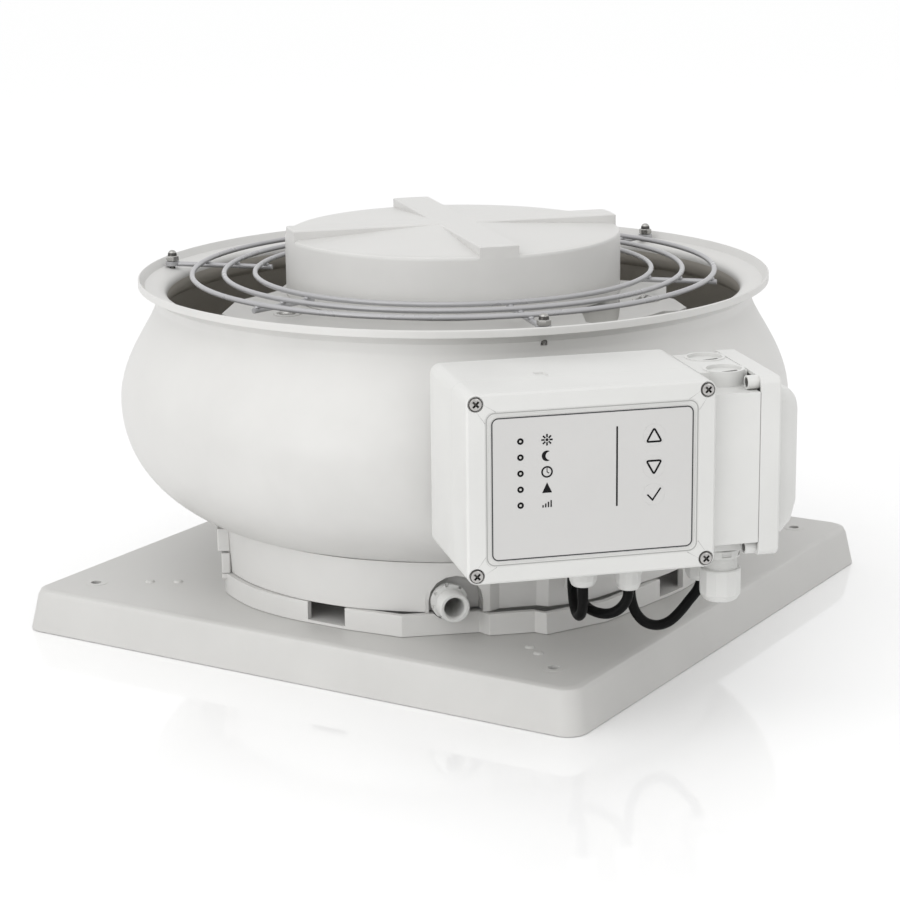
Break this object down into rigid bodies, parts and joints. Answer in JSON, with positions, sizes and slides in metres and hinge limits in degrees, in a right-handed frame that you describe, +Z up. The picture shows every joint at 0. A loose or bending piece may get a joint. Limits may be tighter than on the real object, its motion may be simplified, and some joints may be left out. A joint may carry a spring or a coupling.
{
  "type": "roof exhaust fan with upward discharge",
  "caption": "Roof exhaust fan: square base tray, round bulged casing, impeller inside, wire guard and ribbed cap on top, control box and isolator on the side.",
  "frame": {"origin": "on the fan's axis, at the level the tray's rim stands on", "axes": "+Z up along the fan's axis; the tray's sides run along X and Y; the control panel faces halfway between +X and -Y"},
  "size_m": [0.6756, 0.6371, 0.3348],
  "materials": {
    "casing_plastic": "satin",
    "tray_plastic": "matt",
    "bridge_plastic": "matt",
    "box_plastic": "satin",
    "gland_plastic": "satin",
    "panel_film": "satin film",
    "knob_plastic": "satin",
    "impeller_plastic": "matt",
    "guard_wire": "coated wire",
    "stainless": "polished",
    "zinc_sheet": "galvanised",
    "motor_metal": "cast, dull",
    "cable_rubber": "satin black jacket",
    "seal_foam": "closed-cell foam",
    "board": "lacquered"
  },
  "bodies": {
    "fan_frame": {"base_collar": "casing_plastic", "neck_skirt": "casing_plastic", "bowl_casing": "casing_plastic", "motor_cap": "casing_plastic", "box_saddle": "casing_plastic", "base_tray": "tray_plastic", "motor_bridge": "bridge_plastic", "control_box_base": "box_plastic", "control_box_lid": "box_plastic", "isolator_base": "box_plastic", "isolator_lid": "box_plastic", "cable_spigot": "gland_plastic", "gland_motor": "gland_plastic", "gland_sensor": "gland_plastic", "gland_link": "gland_plastic", "gland_isolator": "gland_plastic", "gland_supply": "gland_plastic", "membrane_panel": "panel_film", "isolator_switch": "knob_plastic", "guard_ring_inner": "guard_wire", "guard_ring_middle": "guard_wire", "guard_ring_outer": "guard_wire", "guard_rod_1": "guard_wire", "guard_rod_2": "guard_wire", "guard_rod_3": "guard_wire", "guard_rod_4": "guard_wire", "guard_rod_5": "guard_wire", "guard_rod_6": "guard_wire", "bridge_screw_1": "stainless", "bridge_screw_2": "stainless", "bridge_screw_3": "stainless", "guard_nut_1": "stainless", "guard_nut_2": "stainless", "guard_nut_3": "stainless", "lid_screw_1": "stainless", "lid_screw_2": "stainless", "lid_screw_3": "stainless", "lid_screw_4": "stainless", "isolator_screw_1": "stainless", "isolator_screw_2": "stainless", "motor_bearing_lower": "stainless", "motor_bearing_upper": "stainless", "inlet_cone": "zinc_sheet", "bridge_post_1": "zinc_sheet", "bridge_post_2": "zinc_sheet", "bridge_post_3": "zinc_sheet", "motor_stator": "motor_metal", "motor_lead": "cable_rubber", "sensor_lead": "cable_rubber", "link_lead": "cable_rubber", "base_seal": "seal_foam", "circuit_board": "board"},
    "rotor": {"motor_shaft": "stainless", "motor_rotor": "motor_metal", "impeller_wheel": "impeller_plastic", "impeller_shroud": "impeller_plastic"},
    "key_up": {"key_up": "panel_film"},
    "key_down": {"key_down": "panel_film"},
    "key_enter": {"key_enter": "panel_film"},
    "isolator_knob": {"isolator_knob": "knob_plastic"}
  },
  "joints": [
    {"name": "rotor_spin", "type": "hinge", "parent": "fan_frame", "child": "rotor", "pos_m": [0, 0, 0.2], "axis": [0, 0, 1], "continuous": true},
    {"name": "key_up_press", "type": "slide", "parent": "fan_frame", "child": "key_up", "axis": [-0.7071, 0.7071, 0], "range_m": [0, 0.0006], "stiffness_N_per_m": 400},
    {"name": "key_down_press", "type": "slide", "parent": "fan_frame", "child": "key_down", "axis": [-0.7071, 0.7071, 0], "range_m": [0, 0.0006], "stiffness_N_per_m": 400},
    {"name": "key_enter_press", "type": "slide", "parent": "fan_frame", "child": "key_enter", "axis": [-0.7071, 0.7071, 0], "range_m": [0, 0.0006], "stiffness_N_per_m": 400},
    {"name": "isolator_turn", "type": "hinge", "parent": "fan_frame", "child": "isolator_knob", "pos_m": [0.35497, -0.12869, 0.208], "axis": [0.7071, 0.7071, 0], "range_deg": [0, 90]}
  ]
}
